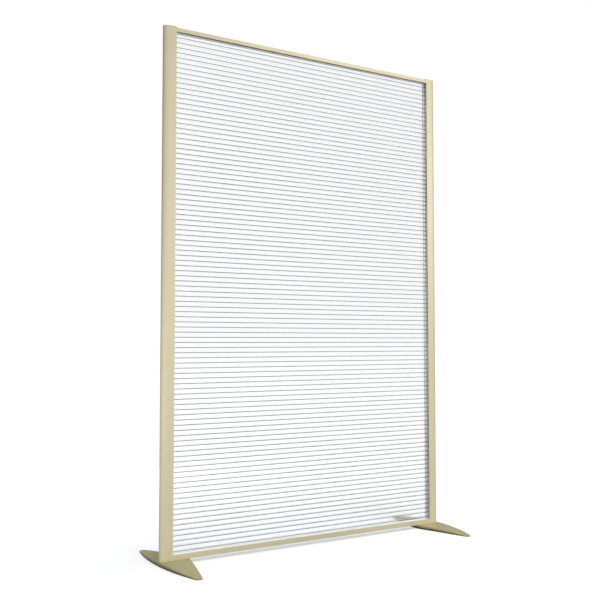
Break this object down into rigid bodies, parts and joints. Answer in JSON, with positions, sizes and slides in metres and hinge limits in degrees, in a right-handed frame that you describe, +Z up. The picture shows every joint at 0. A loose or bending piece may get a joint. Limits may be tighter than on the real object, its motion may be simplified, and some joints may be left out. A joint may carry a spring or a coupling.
{
  "type": "freestanding partition panel",
  "caption": "Freestanding partition panel: a satin metal frame round a clear fluted plastic sheet, standing on low curved feet, used to divide a room or screen a desk.",
  "frame": {"origin": "on the floor, midway between the two feet and on the panel's mid-plane", "axes": "+X along the panel's width, to the right for a viewer in front; +Y from the front to the back; +Z up"},
  "size_m": [1.2276, 0.462, 1.829],
  "materials": {
    "frame_metal": "champagne satin anodised",
    "cap_metal": "satin coat matched to the frame",
    "foot_metal": "fine textured satin coat in the frame's colour",
    "clear_sheet": "clear fluted polycarbonate",
    "edge_seal": "pale soft strip",
    "block_rubber": "matt",
    "bracket_steel": "zinc plated",
    "screw_steel": "zinc plated",
    "insert_metal": "plain casting",
    "pad_rubber": "matt, non-marking"
  },
  "bodies": {
    "root": {"left_post": "frame_metal", "right_post": "frame_metal", "top_rail": "frame_metal", "bottom_rail": "frame_metal", "multiwall_sheet": "clear_sheet", "top_edge_seal": "edge_seal", "bottom_edge_seal": "edge_seal", "left_edge_seal": "edge_seal", "right_edge_seal": "edge_seal", "setting_blocks": "block_rubber", "left_top_cap": "cap_metal", "right_top_cap": "cap_metal", "top_left_bracket": "bracket_steel", "top_right_bracket": "bracket_steel", "bottom_left_bracket": "bracket_steel", "bottom_right_bracket": "bracket_steel", "post_bracket_screws": "screw_steel", "top_rail_screws": "screw_steel", "left_base_insert": "insert_metal", "right_base_insert": "insert_metal", "left_foot": "foot_metal", "right_foot": "foot_metal", "foot_post_screws": "screw_steel", "foot_rail_screws": "screw_steel", "foot_rail_nuts": "screw_steel", "left_foot_pads": "pad_rubber", "right_foot_pads": "pad_rubber"}
  },
  "joints": []
}
